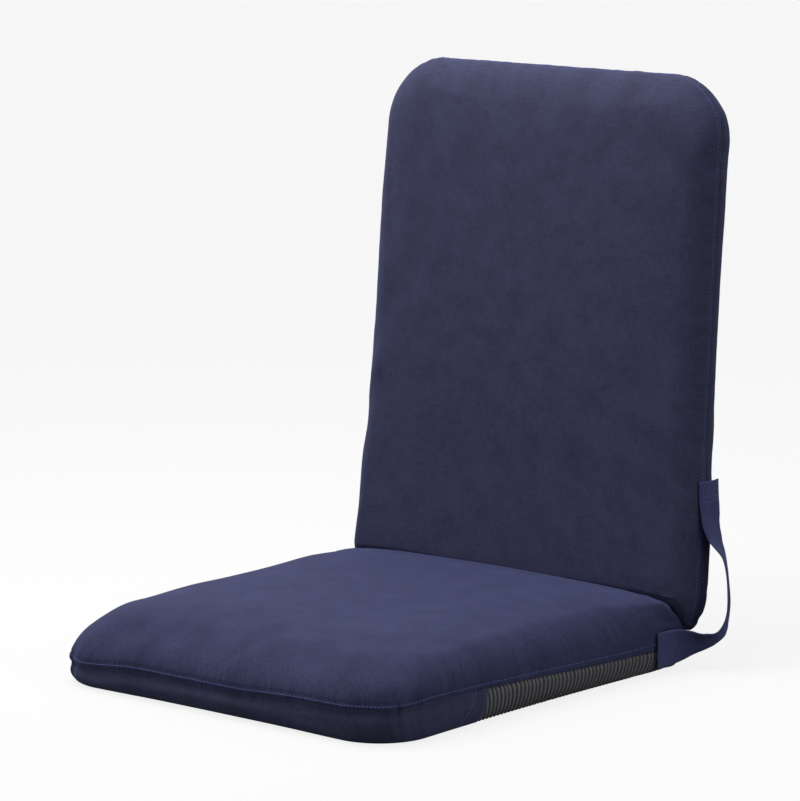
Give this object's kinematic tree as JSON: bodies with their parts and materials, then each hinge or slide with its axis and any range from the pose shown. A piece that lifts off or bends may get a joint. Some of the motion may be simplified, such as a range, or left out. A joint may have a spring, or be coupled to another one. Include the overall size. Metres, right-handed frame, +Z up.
{
  "type": "folding floor chair",
  "caption": "Legless padded floor chair: a flat seat cushion and a back cushion folding on two ratchet hinges, with a carry strap at one side.",
  "frame": {"origin": "middle of the flat underside of the seat, on the floor plane", "axes": "+Z up; -Y the way the sitter faces; +X to the sitter's left, the side of the carry strap"},
  "size_m": [0.4616, 0.518, 0.5624],
  "materials": {
    "navy_cloth": "peached woven cloth",
    "strap_cloth": "folded woven cloth strap",
    "ribbed_mesh": "ribbed knitted mesh",
    "base_cloth": "knitted base cloth",
    "foam": "open-cell foam",
    "painted_tube": "satin powder coat",
    "zinc_steel": "zinc plated"
  },
  "bodies": {
    "seat": {"seat_cover_top": "navy_cloth", "seat_cover_band": "navy_cloth", "seat_side_mesh": "ribbed_mesh", "seat_underside_panel": "base_cloth", "seat_foam_upper": "foam", "seat_foam_lower": "foam", "seat_frame_tube": "painted_tube", "seat_cross_tube": "painted_tube", "hinge_outer_plate_left": "zinc_steel", "hinge_outer_plate_right": "zinc_steel", "hinge_inner_plate_left": "zinc_steel", "hinge_inner_plate_right": "zinc_steel", "pivot_rivet_left": "zinc_steel", "pivot_rivet_right": "zinc_steel", "pivot_washers_left": "zinc_steel", "pivot_washers_right": "zinc_steel", "pawl_rivet_left": "zinc_steel", "pawl_rivet_right": "zinc_steel", "stop_rivets_left": "zinc_steel", "stop_rivets_right": "zinc_steel", "tongue_rivets_left": "zinc_steel", "tongue_rivets_right": "zinc_steel", "pawl_spring_left": "zinc_steel", "pawl_spring_right": "zinc_steel", "hinge_gusset": "navy_cloth", "carry_strap": "strap_cloth"},
    "back": {"back_cover_front": "navy_cloth", "back_cover_rear": "navy_cloth", "back_foam_front": "foam", "back_foam_rear": "foam", "back_frame_tube": "painted_tube", "back_cross_tube": "painted_tube", "ratchet_arm_left": "zinc_steel", "ratchet_arm_right": "zinc_steel", "arm_rivets_left": "zinc_steel", "arm_rivets_right": "zinc_steel"},
    "pawl_left": {"pawl_left": "zinc_steel"},
    "pawl_right": {"pawl_right": "zinc_steel"}
  },
  "joints": [
    {"name": "back_fold", "type": "hinge", "parent": "seat", "child": "back", "pos_m": [0, 0.208, 0.053], "axis": [1, 0, 0], "range_deg": [-85, 83], "deforming": ["seat_cover_top", "seat_side_mesh", "back_cover_front", "back_cover_rear", "hinge_gusset", "carry_strap"]},
    {"name": "pawl_left_swing", "type": "hinge", "parent": "seat", "child": "pawl_left", "pos_m": [0.165, 0.184, 0.034], "axis": [1, 0, 0], "range_deg": [0, 9], "stiffness_Nm_per_rad": 0.02, "springref_deg": 9, "deforming": ["pawl_spring_left"]},
    {"name": "pawl_right_swing", "type": "hinge", "parent": "seat", "child": "pawl_right", "pos_m": [-0.165, 0.184, 0.034], "axis": [1, 0, 0], "range_deg": [0, 9], "stiffness_Nm_per_rad": 0.02, "springref_deg": 9, "deforming": ["pawl_spring_right"]}
  ]
}
